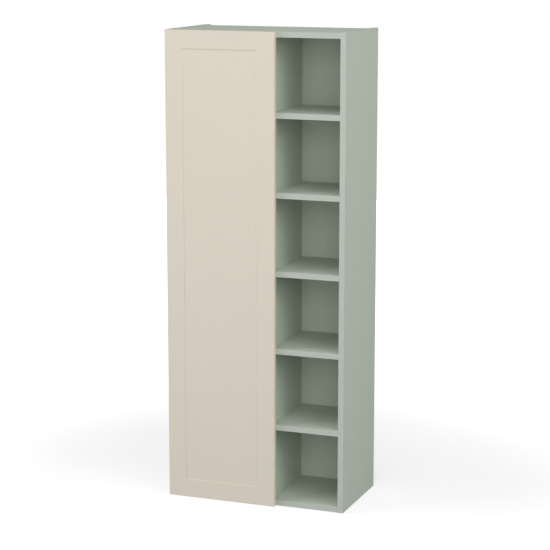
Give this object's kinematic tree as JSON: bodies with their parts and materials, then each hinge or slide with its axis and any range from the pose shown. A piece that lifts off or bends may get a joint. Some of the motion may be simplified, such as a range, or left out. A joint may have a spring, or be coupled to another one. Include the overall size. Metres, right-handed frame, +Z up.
{
  "type": "tall bathroom cabinet",
  "caption": "Tall wall-hung bathroom cabinet with a panelled door on concealed hinges beside a column of open shelves.",
  "frame": {"origin": "bottom centre of the cabinet's overall box, door included", "axes": "+Z up, +Y towards the wall, so the door faces -Y, and +X to the right of someone facing the door"},
  "size_m": [0.6, 0.3356, 1.528],
  "materials": {
    "door_lacquer": "cream satin lacquer on fibreboard",
    "carcass_green": "sage green matt faced board",
    "hinge_nickel": "nickel plated pressed steel",
    "fitting_zinc": "zinc plated sheet steel",
    "pin_steel": "nickel plated turned steel",
    "dowel_beech": "bare beech",
    "bumper_rubber": "clear soft polymer",
    "cap_plastic": "matt moulded plastic in the carcass colour"
  },
  "bodies": {
    "carcass": {"access_caps": "cap_plastic", "back_panel": "carcass_green", "bottom_panel": "carcass_green", "carcass_dowels": "dowel_beech", "divider": "carcass_green", "hanger_adjusters": "fitting_zinc", "hanger_angle_left": "fitting_zinc", "hanger_angle_right": "fitting_zinc", "hanger_hook_left": "fitting_zinc", "hanger_hook_right": "fitting_zinc", "hanger_screws": "fitting_zinc", "hinge_arm_bottom": "hinge_nickel", "hinge_arm_middle": "hinge_nickel", "hinge_arm_pins": "hinge_nickel", "hinge_arm_screws": "hinge_nickel", "hinge_arm_top": "hinge_nickel", "hinge_plate_bottom": "hinge_nickel", "hinge_plate_middle": "hinge_nickel", "hinge_plate_screws": "hinge_nickel", "hinge_plate_top": "hinge_nickel", "hinge_springs": "hinge_nickel", "inner_shelf_1": "carcass_green", "inner_shelf_2": "carcass_green", "inner_shelf_3": "carcass_green", "inner_shelf_4": "carcass_green", "left_side": "carcass_green", "open_shelf_1": "carcass_green", "open_shelf_2": "carcass_green", "open_shelf_3": "carcass_green", "open_shelf_4": "carcass_green", "open_shelf_5": "carcass_green", "right_side": "carcass_green", "shelf_dowels": "dowel_beech", "shelf_pins": "pin_steel", "top_panel": "carcass_green", "wall_rail": "fitting_zinc"},
    "hinge_long_links": {"hinge_long_link_bottom": "hinge_nickel", "hinge_long_link_middle": "hinge_nickel", "hinge_long_link_top": "hinge_nickel"},
    "hinge_short_links": {"hinge_short_link_bottom": "hinge_nickel", "hinge_short_link_middle": "hinge_nickel", "hinge_short_link_top": "hinge_nickel"},
    "door": {"door": "door_lacquer", "door_bumpers": "bumper_rubber", "hinge_cup_pins": "hinge_nickel", "hinge_cup_screws": "hinge_nickel", "hinge_cup_bottom": "hinge_nickel", "hinge_cup_middle": "hinge_nickel", "hinge_cup_top": "hinge_nickel"}
  },
  "joints": [
    {"name": "door_swing", "type": "hinge", "parent": "hinge_long_links", "child": "door", "pos_m": [-0.28775, -0.15415, 0.764], "axis": [0, 0, -1], "range_deg": [0, 125], "stiffness_Nm_per_rad": 0.12, "springref_deg": -28.65},
    {"name": "long_link_swing", "type": "hinge", "parent": "carcass", "child": "hinge_long_links", "pos_m": [-0.261, -0.13725, 0.764], "axis": [0, 0, 1], "range_deg": [0, 35]},
    {"name": "short_link_swing", "type": "hinge", "parent": "carcass", "child": "hinge_short_links", "pos_m": [-0.26775, -0.15725, 0.764], "axis": [0, 0, 1], "range_deg": [0, 52.5]}
  ],
  "couplings": [
    {"joint": "long_link_swing", "follows": "door_swing", "ratio": 0.28},
    {"joint": "short_link_swing", "follows": "door_swing", "ratio": 0.42}
  ]
}
